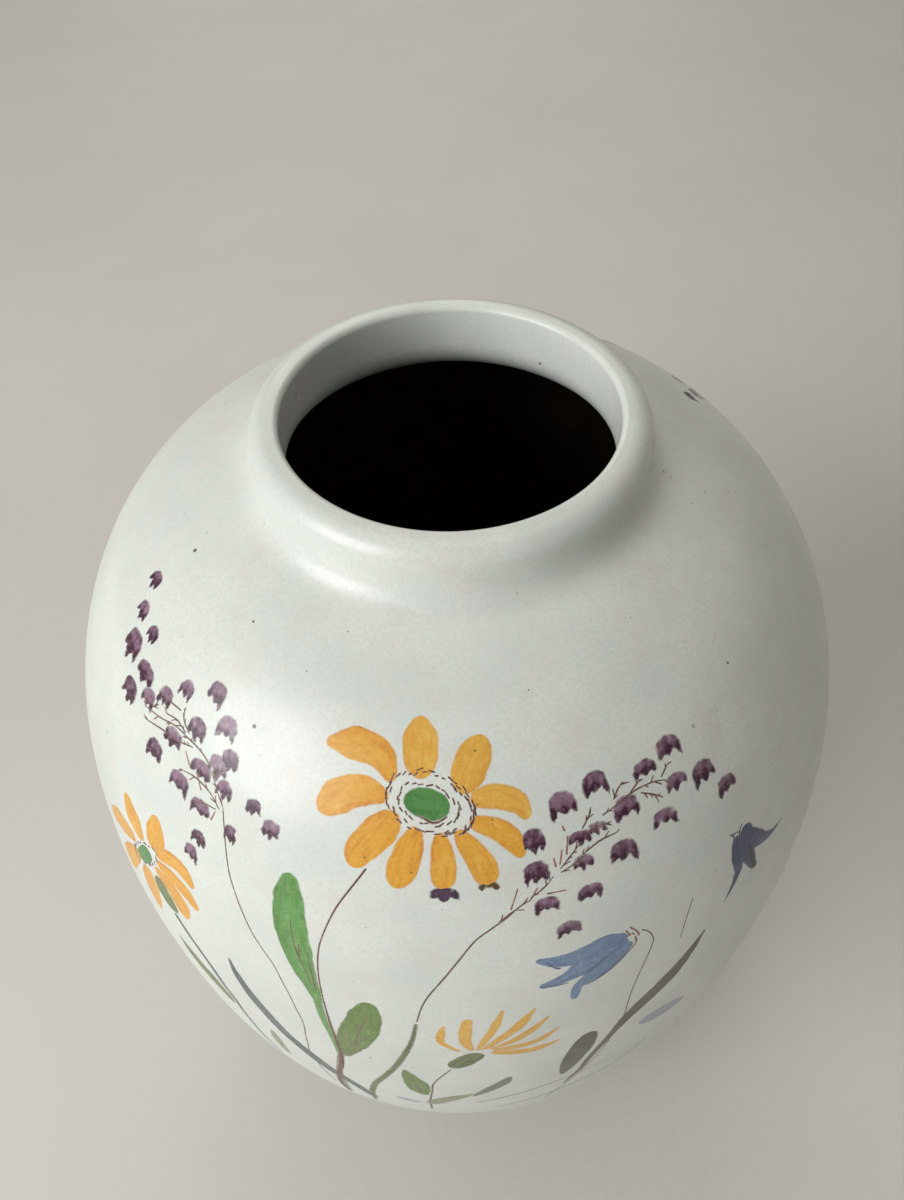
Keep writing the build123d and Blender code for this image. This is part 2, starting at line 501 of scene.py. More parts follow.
def spinCoat(name, runs, inside, throwRings=0.0):
    coat = drawOutline(name, runs)
    for v in coat.data.vertices:  # rings left by the fingers as the wall was pulled up
        if throwRings and v.co.x > 0.02:
            v.co.x += throwRings * math.sin(v.co.z / 0.0016) * (0.5 + 0.5 * math.sin(v.co.z * 90))
    bpy.ops.object.mode_set(mode="EDIT")
    bpy.ops.mesh.select_all(action="SELECT")
    bpy.ops.mesh.spin(steps=pot["spins"], angle=2 * math.pi, center=(0, 0, 0), axis=(0, 0, 1))
    bpy.ops.mesh.select_all(action="SELECT")
    bpy.ops.mesh.remove_doubles(threshold=0.00002)
    bpy.ops.mesh.normals_make_consistent(inside=inside)
    bpy.ops.object.mode_set(mode="OBJECT")
    bpy.ops.object.shade_smooth()
    return coat


clouds = bpy.data.textures.new("handSwell", "CLOUDS")
clouds.noise_scale = 0.07
clouds.noise_depth = 1

skin = spinCoat("glaze_skin", skinOutline, False)
applyModifier(skin, "DISPLACE", {"texture": clouds, "texture_coords": "LOCAL",
                                 "strength": pot["uneven"], "mid_level": 0.0})
applyModifier(skin, "SOLIDIFY", {"thickness": pot["coat"] * mm, "offset": -1, "use_rim": True})
skin.data.materials.clear()
skin.data.materials.append(whiteGlaze)
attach(skin, "root")
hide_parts("outer_glaze")

liner = spinCoat("dark_liner", linerOutline, True, 0.0003)
applyModifier(liner, "SOLIDIFY", {"thickness": pot["coat"] * mm, "offset": -1, "use_rim": True})
liner.data.materials.clear()
liner.data.materials.append(darkGlaze)
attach(liner, "root")
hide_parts("inner_glaze")
print("coats spun", len(skin.data.polygons), len(liner.data.polygons))

# ---- the brush

brushLook = {
    "spread": 0.4,  # mm of thin paint beyond the mark's own edge
    "fineSpread": 0.2,  # the same for a thin line
    "edge": 1.05,  # mm over which the paint thins out
    "lowest": -0.01,  # mm under the glaze's face at the rim of the mark
    "layer": 0.036,  # mm that each layer of paint stands above the last
    "lift": 0.006,  # mm added to every mark
    "film": 0.12,  # mm thickness
    "step": 1.1,  # mm between rows along the mark
    "fray": 0.055,  # share of the width that the hand varies
}

meridian, climbs = [], [0.0]  # the wall's outline from the foot up, and how far up it each point is
for flank in (lowerFlank, upperFlank, cove):
    knots = [Vector((p[0], p[1], 0)) for p in flank]
    meridian += geometry.interpolate_bezier(*knots, 200)[:-1]
meridian = [Vector((p[0], p[1])) for p in meridian]
for a, b in zip(meridian, meridian[1:]):
    climbs.append(climbs[-1] + (b - a).length)
bellyClimb = climbs[min(range(len(meridian)), key=lambda i: abs(meridian[i].y - pot["bellyHeight"]))]
climbs = [c - bellyClimb for c in climbs]
skinTree = BVHTree.FromPolygons([v.co for v in skin.data.vertices],
                                [p.vertices[:] for p in skin.data.polygons])


def wallAt(climb):
    i = min(max(bisect_right(climbs, climb), 1), len(climbs) - 1)
    share = (climb - climbs[i - 1]) / (climbs[i] - climbs[i - 1])
    here = meridian[i - 1].lerp(meridian[i], share)
    along = (meridian[i] - meridian[i - 1]).normalized()
    return here, Vector((along.y, -along.x))  # radius and height, and the way out


def onPot(turn, climb):
    # the point of the glaze's face there, and the face's smooth normal
    here, out = wallAt(climb)
    angle = math.radians(turn)
    ahead = Vector((math.sin(angle), -math.cos(angle), 0))
    place = (ahead * here.x + Vector((0, 0, here.y))) * mm
    normal = (ahead * out.x + Vector((0, 0, out.y))).normalized()
    hit, _, face, _ = skinTree.ray_cast(place + normal * 0.004, -normal)
    if hit is None:
        return place, normal
    corners = skin.data.polygons[face].vertices[:]
    weights = poly_3d_calc([skin.data.vertices[i].co for i in corners], hit)
    smooth = Vector()
    for weight, corner in zip(weights, corners):
        smooth += skin.data.vertices[corner].normal * weight
    return hit, smooth.normalized()


def mmPerDegree(climb):
    return wallAt(climb)[0].x * math.pi / 180


def roundPath(points):
    ends = [points[0] * 2 - points[1]] + points + [points[-1] * 2 - points[-2]]
    line = []
    for a, b, c, d in zip(ends, ends[1:], ends[2:], ends[3:]):
        line += geometry.interpolate_bezier(b, b + (c - a) / 6, c - (d - b) / 6, c, 9)[:-1]
    return line + [points[-1]]


def widthAt(widths, share):
    place = share * (len(widths) - 1)
    i = min(int(place), len(widths) - 2)
    part = place - i
    part = part * part * (3 - 2 * part) * 0.5 + part * 0.5
    return widths[i] * (1 - part) + widths[i + 1] * part


marks = []  # the brush marks of the piece being painted


def markFields(mesh):
    # what a mark tells its paint: how thick it lies, where it is across and along, and its grain
    fields = {"pigment": "FLOAT", "across": "FLOAT", "tipward": "FLOAT", "lie": "FLOAT_VECTOR",
              "faceNormal": "FLOAT_VECTOR"}
    for name, kind in fields.items():
        mesh.attributes.new(name, kind, "POINT")
    return [mesh.attributes[name].data for name in fields]


def brush(paint, path, widths, stand, layer=0):
    flip, size = stand.get("flip", 1), stand.get("size", 1)
    points = [Vector((flip * t * size + stand["turn"], c * size + stand["climb"], 0)) for t, c in path]
    line = roundPath(points)
    lengths = [0.0]
    for a, b in zip(line, line[1:]):
        lengths.append(lengths[-1] + math.hypot((b.x - a.x) * mmPerDegree(a.y), b.y - a.y))
    spread = brushLook["spread"] if max(widths) > 1.2 else brushLook["fineSpread"]
    widths = [max(w * size / 2, 0.08) + spread for w in widths]
    total = lengths[-1] + 2 * spread  # the mark's ends spread a little too
    caps = (min(widths[0], total / 2), min(widths[-1], total / 2))
    widest = max(widths)
    steps = 4 if widest > 0.9 else 2  # fewer faces in a hair's end
    rows = [caps[0] * (1 - math.cos(math.pi / 2 * i / steps)) for i in range(steps)]
    middle = max(total - sum(caps), 0.0)
    count = max(2, round(middle / brushLook["step"]))
    rows += [caps[0] + middle * i / count for i in range(count + 1)]
    rows += [total - caps[1] * (1 - math.cos(math.pi / 2 * i / steps)) for i in reversed(range(steps))]
    columns = 10 if widest > 1.9 else 6 if widest > 0.9 else 4
    seed = rng.uniform(0, 90)
    side = rng.choice((-1, 1))
    extra = rng.uniform(0, 0.004)  # no two marks lie at quite the same height

    bpy.ops.mesh.primitive_grid_add(x_subdivisions=columns, y_subdivisions=len(rows) - 1, size=1)
    mark = bpy.context.object
    mesh = mark.data
    pigment, acrossOut, tipward, lie, faceNormal = markFields(mesh)
    top = brushLook["lowest"] + (layer + 1) * brushLook["layer"] + extra + brushLook["lift"]
    for i, v in enumerate(mesh.vertices):
        u = v.co.x * 2
        at = rows[min(round((v.co.y + 0.5) * (len(rows) - 1)), len(rows) - 1)]
        share = at / total
        along = min(max(at - spread, 0), lengths[-1])
        k = min(max(bisect_right(lengths, along), 1), len(lengths) - 1)
        part = (along - lengths[k - 1]) / max(lengths[k] - lengths[k - 1], 1e-6)
        turn, climb = line[k - 1].lerp(line[k], part).xy
        perDegree = mmPerDegree(climb)
        go = Vector(((line[k].x - line[k - 1].x) * perDegree, line[k].y - line[k - 1].y))
        go.normalize()
        half = widthAt(widths, share)
        half *= 1 + brushLook["fray"] * noise.noise(Vector((at * 0.45, seed, u > 0)))
        e = max((caps[0] - at) / caps[0], (caps[1] - (total - at)) / caps[1], 0)
        offset = half * math.sqrt(max(1 - e * e, 0)) * math.sin(math.pi / 2 * u)
        beyond = at - spread - along  # past the path's own ends
        x = turn + (go.y * offset + go.x * beyond) / perDegree
        y = climb - go.x * offset + go.y * beyond
        inward = (1 - math.sqrt(min(e * e + (offset / half) ** 2, 1))) * half
        fade = min(brushLook["edge"], widest * 0.9)
        rise = min(inward / fade, 1)
        rise = rise * rise * (3 - 2 * rise)
        lift = brushLook["lowest"] + (top - brushLook["lowest"]) * rise
        place, normal = onPot(x, y)
        v.co = place + normal * lift * mm
        if layer:
            strength = min(max(lift / (brushLook["layer"] * 0.92), 0), 1)
        else:
            strength = min(max(rise * 1.15 - 0.1, 0), 1)
        pigment[i].value = strength
        acrossOut[i].value = side * offset / half
        tipward[i].value = share
        lie[i].vector = (at, offset, seed)
        faceNormal[i].vector = normal
    mesh.materials.append(paints[paint])
    marks.append(mark)


def blot(paint, t, c, wide, high, stand, deepen=0.0, points=3):
    # a soft dab shaped as a small bell: a rounded cap with points hanging from its lower edge
    flip, size = stand.get("flip", 1), stand.get("size", 1)
    centre = Vector((flip * t * size + stand["turn"], c * size + stand["climb"]))
    perDegree = mmPerDegree(centre.y)
    wide, high = wide * size / 2, high * size / 2
    seed = rng.uniform(0, 90)
    slant = rng.uniform(-0.3, 0.3)
    deepest = rng.choice((0, 1, 2)[:points])
    hanging = []  # for each point: where it hangs, how long and how wide it is
    for i in range(points):
        spot = (i / (points - 1) * 2 - 1) * 0.76
        reach = rng.uniform(0.85, 1.05) if i == deepest else rng.uniform(0.4, 0.75)
        hanging.append(((spot + rng.uniform(-0.1, 0.1)) * wide, reach * high,
                        rng.uniform(0.34, 0.5) * wide))
    nodes = 17
    bpy.ops.mesh.primitive_grid_add(x_subdivisions=nodes, y_subdivisions=nodes, size=1)
    mark = bpy.context.object
    mesh = mark.data
    pigment, acrossOut, tipward, lie, faceNormal = markFields(mesh)
    for i, v in enumerate(mesh.vertices):
        x, y = v.co.x * 2 * (wide + 0.9), v.co.y * 2 * (high + 0.9)
        y += slant * x
        sway = noise.noise(Vector((x * 0.8, y * 0.8, seed))) * 0.6
        crown = (1 - math.hypot((x + sway) / wide, (y - 0.05 * high) / (0.92 * high))) * min(wide, high)
        lips, dark = -0.12 * high, 0.0
        for spot, reach, breadth in hanging:
            near = max(1 - abs(x + sway - spot) / breadth, 0)
            lips = min(lips, -0.12 * high - near * (reach - 0.12 * high))
            nearLips = math.exp(-((y + 0.3 * high) / (0.42 * high)) ** 2)
            dark = max(dark, math.exp(-((x - spot) / (0.8 * breadth)) ** 2) * nearLips)
        inside = min(crown if y > 0 else wide - abs(x + sway), y - lips + 0.3)
        dense = min(max((inside + 0.45) / 1.15, 0), 1)
        dense = dense * dense * (3 - 2 * dense)
        mottle = noise.noise(Vector((x * 0.8, y * 0.7, seed + 7)))
        dark = min(max(dark * 1.05 + 0.6 * mottle + deepen, 0), 1)
        dense *= min(1.0, 2.2 * (1 - max(abs(v.co.x), abs(v.co.y)) * 2))
        at, normal = onPot(centre.x + x / perDegree, centre.y + y)
        lift = brushLook["lowest"] + brushLook["layer"] * dense + 0.002 * (seed % 1)
        v.co = at + normal * lift * mm
        pigment[i].value = dense * min(0.78 + 0.5 * dark + 0.3 * mottle, 1)
        acrossOut[i].value = dark
        tipward[i].value = 1.0
        lie[i].vector = (y, x, seed)
        faceNormal[i].vector = normal
    mesh.materials.append(paints[paint])
    marks.append(mark)


def finishPainting(name):
    # joins the marks, gives the paint its thickness and lets it shine as the glaze under it does
    clearSelection()
    for mark in marks:
        mark.select_set(True)
    piece = marks[0]
    bpy.context.view_layer.objects.active = piece
    bpy.ops.object.join()
    piece.name = piece.data.name = name
    bpy.ops.object.shade_smooth()
    applyModifier(piece, "SOLIDIFY", {"thickness": brushLook["film"] * mm, "offset": -1, "use_rim": True})
    mesh = piece.data
    outward = [Vector(a.vector) for a in mesh.attributes["faceNormal"].data]
    corners = []
    for polygon in mesh.polygons:
        for vertex in polygon.vertices:
            normal = outward[vertex]
            corners.append(normal if polygon.normal.dot(normal) > 0 else polygon.normal.copy())
    mesh.normals_split_custom_set(corners)
    mesh.attributes.remove(mesh.attributes["faceNormal"])
    marks.clear()
    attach(piece, "root")
    print("painted", name, len(mesh.polygons))
    return piece


def strokes(paint, rows, stand, layer=0):
    for path, widths in rows:
        brush(paint, path, widths, stand, layer)


# ---- the flowers

front = {"turn": 0, "climb": 0}

bigDaisy = {
    "petals": [
        ([(-5.7, 133.5), (-6, 139), (-6.3, 146.5)], [4.5, 7.4, 7.6, 2.4]),
        ([(0.2, 130.5), (1.2, 136), (3.6, 142.5)], [3.5, 7.4, 7.6, 3]),
        ([(1, 129.3), (4.5, 129.7), (7.3, 128), (8.8, 124)], [3.4, 5.6, 5.4, 2]),
        ([(0.8, 124.8), (4, 123), (6, 120.5), (7.5, 115.5)], [3, 5, 5.2, 2]),
        ([(-0.8, 123), (1, 118.5), (2.4, 114.5), (3, 109.5)], [2.4, 5.2, 6.2, 5]),
        ([(-3, 122.5), (-2.6, 115.5), (-2.6, 108.8)], [2.2, 5.2, 5.8, 4.4]),
        ([(-6, 123.5), (-7.2, 116.5), (-8.6, 108.5)], [2.8, 6.2, 7, 4]),
        ([(-8.8, 126.2), (-11.4, 120.5), (-13.2, 116.5), (-14, 112)], [4.4, 7.8, 7.2, 4]),
        ([(-10, 129), (-13.5, 129.7), (-16.5, 128), (-19.4, 123)], [2.8, 7, 8, 4]),
        ([(-9.6, 132.5), (-11.8, 137.5), (-15.5, 139), (-20.4, 138)], [2.4, 6.4, 7.4, 2]),
    ],
    "golden": 3,  # the first petals are of a lighter yellow
    "eye": ([(-8, 129.5), (-5, 128.5), (-1.6, 127.3)], [4.6, 7, 5.8]),
    "rings": [((-4.3, 128.5), 6.0, 6.4, 44, 6.3), ((-4, 128), 5.3, 5.5, 15, 2.4),
              ((-4.6, 128.3), 4.2, 4.3, 24, 6.3)],
    "eyeLine": ([(-6, 126), (-5, 125.3), (-4, 124.5), (-3, 124.8), (-2, 126)], [0.5, 0.7, 0.5]),
    "stem": ([(-12.2, 112.5), (-14.5, 105), (-16, 99), (-17.3, 91), (-18, 84), (-18.2, 75), (-18, 65)],
             [0.6, 0.5, 0.6]),
    "stalk": ([(-18, 65), (-17.6, 50), (-17.3, 38), (-17.2, 25), (-17.8, 12), (-18.8, 0), (-19.5, -12),
               (-20, -25), (-20, -45)], [0.5, 1, 1.8, 2, 1.6]),
}


def paintRing(centre, wide, high, count, sweep, stand, tilt=0.0):
    # short ticks of the brush round a daisy's eye, or round part of it on the right
    for i in range(count):
        angle = sweep * ((i + rng.uniform(-0.3, 0.3)) / count - 0.5)
        reach = rng.uniform(0.92, 1.08)
        x, y = math.cos(angle) * wide * reach, math.sin(angle) * high * reach
        y -= x * tilt
        lean = angle + math.pi / 2 + rng.uniform(-0.25, 0.25)
        length = rng.uniform(0.55, 1.15)
        dx, dy = math.cos(lean) * length / 1.85, math.sin(lean) * length
        ticks = [(centre[0] + x - dx, centre[1] + y - dy), (centre[0] + x + dx, centre[1] + y + dy)]
        brush("brown_line", ticks, [rng.uniform(0.25, 0.55), 0.3], stand, 1)


def paintBigDaisy(name, stand, withDabs=True):
    for i, (path, widths) in enumerate(bigDaisy["petals"]):
        brush("gold_yellow" if i < bigDaisy["golden"] else "sun_yellow", path, widths, stand)
    brush("eye_green", *bigDaisy["eye"], stand)
    brush("brown_line", *bigDaisy["eyeLine"], stand, 1)
    for ring in bigDaisy["rings"]:
        paintRing(*ring, stand, 0.3)
    if withDabs:
        blot("dark_purple", -2.5, 107.6, 7, 4.4, stand, 0.3)
        blot("olive_brown", 3, 109.4, 4.8, 2.8, stand, 0.3, 2)
    brush("brown_line", *bigDaisy["stem"], stand)
    return finishPainting(name)


bigLeaf = {
    "blade": ([(-18.6, 59), (-19.2, 66), (-20.2, 74), (-21, 82), (-21.7, 90), (-22, 98), (-22, 106)],
              [2.4, 4.6, 6.8, 8.6, 9, 7.8, 3.6]),
    "veins": [
        ([(-21.7, 92), (-21.3, 85), (-20.7, 79.5), (-19.8, 73), (-19.3, 68)], [0.3, 0.6, 0.4]),
        ([(-20.6, 84), (-20.5, 79)], [0.3, 0.5]),
        ([(-19.5, 82), (-19, 72), (-18.8, 65)], [0.3, 0.5, 0.5]),
    ],
    "stalk": ([(-18.8, 61), (-18.3, 48), (-17.8, 40), (-17.5, 30), (-17.4, 20)], [2.6, 2.2, 1.8, 1.6]),
}
smallLeaf = {
    "blade": ([(-16.5, 24), (-15.7, 33), (-14.6, 42), (-13.4, 51), (-12.5, 60), (-12, 66.5)],
              [2, 6.5, 9.6, 10.4, 9, 4]),
    "veins": [
        ([(-17, 22), (-15.3, 30), (-14.5, 38), (-14, 45), (-13.3, 52), (-12.3, 58.5)], [0.4, 0.6, 0.4]),
        ([(-14.4, 40), (-12.8, 45), (-12, 48)], [0.6, 0.5, 0.3]),
        ([(-15.2, 30), (-13.4, 36), (-12.8, 38)], [0.6, 0.5, 0.3]),
        ([(-15, 36), (-15.5, 42), (-15.7, 46)], [0.6, 0.5, 0.3]),
    ],
}


def paintDaisyLeaves(name, stand):
    brush("leaf_green", *bigLeaf["stalk"], stand)
    brush("leaf_green", *bigLeaf["blade"], stand)
    brush("olive_green", *smallLeaf["blade"], stand)
    strokes("brown_line", bigLeaf["veins"] + smallLeaf["veins"], stand, 1)
    brush("brown_line", *bigDaisy["stalk"], stand, 1)
    brush("olive_wash", [(-17.6, 22), (-18.2, 10), (-19, -5), (-19.5, -25), (-19.5, -42)], [1.5, 2.5, 3, 2],
          stand)
    return finishPainting(name)


rightHeather = {
    "swell": 1.04,  # how far the florets swell past their listed sizes
    "pale": [],
    "florets": [
        (9, 118.5, 5.2, 7), (13.5, 125, 6.3, 7.5), (18.5, 127.5, 6, 6.5), (26, 126.5, 6, 4.5),
        (30.5, 128, 6.5, 6.5), (22, 120, 6.5, 6.5), (30, 120, 6, 5), (34.5, 118, 6.5, 7),
        (37.5, 111, 6, 6), (27, 113.5, 6.5, 5.5), (20.5, 110, 7, 7), (15, 111, 5, 4.5),
        (15, 117, 5.5, 4), (17.5, 118, 4.5, 3.5), (9, 111, 6, 6.5), (15.5, 102.5, 6, 5.5),
        (10, 102, 6, 5.5), (12.5, 93.5, 6, 5.5),
    ],
    "twigs": [
        [(4, 99.5), (6.5, 103), (8, 104.5)], [(8, 105), (10, 107.5), (11, 109.5)],
        [(12, 110), (14, 111.5), (15.5, 113)], [(12, 111), (13.5, 113.5), (15, 116)],
        [(15, 113), (17.5, 115), (20, 115.5)], [(18.5, 120.5), (20.5, 121.5), (23.5, 123), (26.5, 123),
                                                (28.5, 122)],
        [(20.5, 123), (21.5, 125), (22.5, 126)], [(23, 123), (25, 125)], [(28, 123), (29.5, 125)],
        [(24.5, 122), (26, 120.5), (27.5, 118.5)], [(15.5, 119), (16.5, 121), (17, 122)],
        [(16, 118), (18, 118.5), (19.5, 118.5)],
    ],
    "ticks": [
        [(11.5, 111.5), (11.3, 114)], [(12, 112), (12.5, 115.5)], [(13, 114), (13.5, 118.5)],
        [(13.2, 119.5), (13, 121)], [(5.5, 102.5), (6.5, 108)], [(8.4, 106), (9, 107.5)],
        [(10, 105.3), (12.5, 105.2)],
    ],
    "stem": ([(7.5, 104.5), (5, 100.5), (3, 97.5), (1, 94), (-1, 87.5), (-3, 80), (-4.5, 74), (-5.5, 68),
              (-6.2, 60)], [0.5, 0.6, 0.5]),
    "stalk": ([(-6.3, 59), (-7, 48), (-8.3, 36), (-9.8, 24), (-11.5, 12), (-13.2, 0), (-14.3, -12),
               (-15, -25),
               (-15.5, -45)], [1.2, 2, 2.2, 2.2, 1.6]),
}

leftHeather = {
    "swell": 1.18,
    "florets": [
        (-67, 140.5, 4.2, 4.5), (-64, 134, 4.5, 5), (-58.5, 133.5, 4, 4.5), (-61, 126.5, 7, 8),
        (-55, 126, 7, 5), (-49, 126.5, 4.5, 5.5), (-46, 132, 4, 5), (-40.5, 136, 4.5, 5.5),
        (-34, 125, 4.5, 5.5), (-41, 126.5, 5, 5.5), (-44.5, 120.5, 5.5, 5), (-56.5, 118.5, 6, 6.5),
        (-47, 113.5, 5.5, 6), (-38, 119, 6, 4.5), (-33.5, 118, 4, 5), (-41, 112, 6, 5.5),
        (-36.5, 110, 5.5, 4.5), (-31.2, 108.3, 3, 5), (-36, 101.5, 4, 5), (-37, 95.5, 4, 6),
        (-28.5, 118, 3.5, 4), (-25.5, 114.5, 4, 5),
    ],
    "pale": [(-36.3, 131, 5, 6), (-52, 122.5, 5, 5), (-35.5, 122, 5, 6)],
    "twigs": [
        [(-33, 114), (-34.5, 117), (-36.5, 121), (-39, 123), (-42, 123.5), (-45, 123.5), (-48, 122),
         (-52, 120.5)],
        [(-40.5, 122.5), (-43.5, 121), (-47, 120), (-51, 118)],
        [(-33.5, 113), (-35.5, 115.5), (-38.5, 116.5), (-41.5, 115.5)],
        [(-34, 112.5), (-36, 112), (-37.5, 110.5)], [(-42, 124.5), (-44, 126.5), (-44.5, 129)],
        [(-42.5, 124), (-45, 125), (-47.5, 124)], [(-45, 127.5), (-48, 127)],
        [(-35.5, 119.5), (-34.5, 123)],
        [(-53, 122), (-52, 121.5)], [(-50.5, 122), (-49.5, 124)],
    ],
    "ticks": [[(-40, 118), (-41.5, 120.5)], [(-37, 114.5), (-38.5, 118)], [(-34.5, 109), (-34, 112)]],
    "stem": ([(-33, 114), (-32, 108), (-31.2, 102), (-30.5, 97), (-29.5, 92), (-28.5, 87), (-27, 80),
              (-25.6, 75),
              (-24.3, 70), (-23.5, 64), (-22.7, 57), (-22.2, 50), (-21.8, 44), (-21.7, 38), (-22, 30),
              (-22.2, 22),
              (-22.5, 12), (-22, -5), (-21, -25)], [0.45, 0.5, 0.5, 0.7]),
    "stalk": None,
}


def paintHeather(name, plant, stand):
    swell = plant["swell"]
    for t, c, wide, high in plant["florets"]:
        blot("heather", t, c, wide * swell, high * swell, stand, rng.choice((0.16, 0.26, 0.36, 0.52)))
    for t, c, wide, high in plant["pale"]:
        blot("heather", t, c, wide * swell, high * swell, stand, -0.15)
    if plant["stalk"]:
        brush("moss_green", *plant["stalk"], stand)
        brush("dark_blade", plant["stalk"][0], [0.5, 0.7, 0.6], stand, 1)
    brush("brown_line", *plant["stem"], stand)
    for path in plant["twigs"]:
        brush("brown_line", path, [0.3, 0.4, 0.25], stand, 1)
        for a, b in zip(path, path[1:]):  # fine hairs along the twig
            for _ in range(2):
                share, side = rng.random(), rng.choice((-1, 1))
                x, y = a[0] + (b[0] - a[0]) * share, a[1] + (b[1] - a[1]) * share
                along = math.atan2(b[1] - a[1], (b[0] - a[0]) * 1.8) + side * rng.uniform(0.4, 0.8)
                reach = rng.uniform(0.9, 2.2)
                tip = (x + math.cos(along) * reach / 1.8, y + math.sin(along) * reach)
                brush("brown_line", [(x, y), tip], [0.28, 0.16], stand, 1)
    for path in plant["ticks"]:
        brush("red_line", path, [0.45, 0.3], stand, 1)
    return finishPainting(name)


sideDaisy = {
    "petals": [
        ([(-45, 83.5), (-44, 90.5), (-44, 97)], [4, 8, 3]),
        ([(-47, 81.5), (-49.5, 86.5), (-51.5, 92)], [4, 8.5, 3]),
        ([(-49, 78), (-53.5, 75.5), (-57, 70.5)], [4, 8.5, 4]),
        ([(-48.5, 73.5), (-51, 66), (-52.5, 60), (-53, 53.5)], [3, 7, 7.5, 4]),
        ([(-46.5, 71), (-46.5, 62), (-46.3, 56), (-46, 50.5)], [4, 8, 7, 2.5]),
        ([(-44, 82.5), (-41, 86.5), (-38.5, 86.5), (-36.5, 82.5)], [2.5, 5.5, 6, 2]),
        ([(-44, 79.5), (-40.5, 79.7), (-38, 78), (-36, 74)], [3, 5.6, 5.8, 2.5]),
        ([(-44.5, 76), (-41, 73.5), (-39.5, 69.5), (-39, 64)], [3, 7, 7.4, 3]),
    ],
    "eye": ([(-48.3, 71.5), (-46.8, 76), (-45.6, 80.5)], [3.6, 5.2, 4.2]),
    "calyx": ([(-44, 72.5), (-43, 67), (-41, 61.5)], [4, 7, 5]),
    "stem": ([(-41.5, 60.5), (-39.5, 54.5), (-37.5, 48), (-36, 41), (-35, 33), (-34, 25), (-33.5, 15),
              (-33, 5),
              (-32.5, -5), (-31, -25)], [2, 2.2, 2, 1.8]),
    "leaf": ([(-42.5, 44), (-40.5, 37), (-38, 30), (-36, 23), (-35, 17)], [1, 6, 8, 6, 2]),
}


def paintSideDaisy(name, stand):
    brush("grey_blade", *sideDaisy["stem"], stand)
    brush("moss_green", *sideDaisy["leaf"], stand)
    strokes("sun_yellow", sideDaisy["petals"], stand)
    brush("moss_green", *sideDaisy["calyx"], stand, 1)
    brush("eye_green", *sideDaisy["eye"], stand, 1)
    for i in range(24):
        angle = 2 * math.pi * (i + rng.uniform(-0.3, 0.3)) / 24
        x, y = math.cos(angle) * 2, math.sin(angle) * 7 * rng.uniform(0.85, 1.15)
        x += y * 0.3
        dx, dy = -math.sin(angle) * 0.3, math.cos(angle) * 0.8
        x, y = -46.8 + x, 76.5 + y
        brush("brown_line", [(x - dx, y - dy), (x + dx, y + dy)], [0.4, 0.3], stand, 2)
    return finishPainting(name)


halfDaisy = {
    "petals": [
        ([(-1, 42), (-2.5, 45.5), (-3.5, 50), (-3, 58.5)], [1.2, 2, 2.6, 1.2]),
        ([(0.5, 42.5), (-0.3, 48), (-0.4, 54), (0, 62.5)], [1.8, 3.4, 3.6, 2.6]),
        ([(1.2, 42.5), (2, 49), (3.2, 57), (4.2, 66)], [1.5, 2.4, 2.6, 1]),
        ([(1.8, 43), (3.8, 49), (5.8, 55), (8.3, 65)], [1.6, 3, 3.4, 0.8]),
        ([(2.5, 43), (5.5, 47), (8, 53), (10, 59)], [1.5, 2.8, 2.8, 0.8]),
        ([(3, 42), (6.5, 43), (9, 45), (11.5, 51)], [2, 3.4, 2.6, 0.8]),
        ([(2.8, 40.5), (5.5, 39), (8.5, 38.5), (11.8, 41.5)], [2, 4, 3.8, 0.8]),
    ],
    "calyx": ([(-2, 28), (-1.3, 31.5), (0, 36), (1.4, 40.5)], [3, 6.5, 6.5, 4]),
    "lines": [
        ([(-2.3, 30), (-1.5, 34), (0, 38.5)], [0.6, 1, 0.6]), ([(-1.4, 29.5), (0.5, 37.5)], [0.7, 0.9]),
        ([(-0.4, 31), (1, 35.5), (2, 39.5)], [0.6, 1, 0.6]),
    ],
    "stem": ([(-2.3, 27), (-3.2, 22), (-4.3, 15), (-5, 8), (-5.2, 0), (-5.5, -8), (-5.8, -18), (-6, -40)],
             [0.8, 0.9, 1, 1.2]),
    "leaf": ([(-6.3, -8), (-7, 0), (-7.3, 8), (-8, 16), (-8.6, 23)], [2, 6.5, 7.5, 5, 1.2]),
}


def paintHalfDaisy(name, stand):
    brush("brown_line", *halfDaisy["stem"], stand)
    brush("olive_green", *halfDaisy["leaf"], stand)
    brush("brown_line", [(-6.8, -5), (-7.2, 6), (-8, 16)], [0.4, 0.5, 0.3], stand, 1)
    strokes("pale_yellow", halfDaisy["petals"], stand)
    brush("moss_green", *halfDaisy["calyx"], stand, 1)
    strokes("iron_black", halfDaisy["lines"], stand, 2)
    return finishPainting(name)


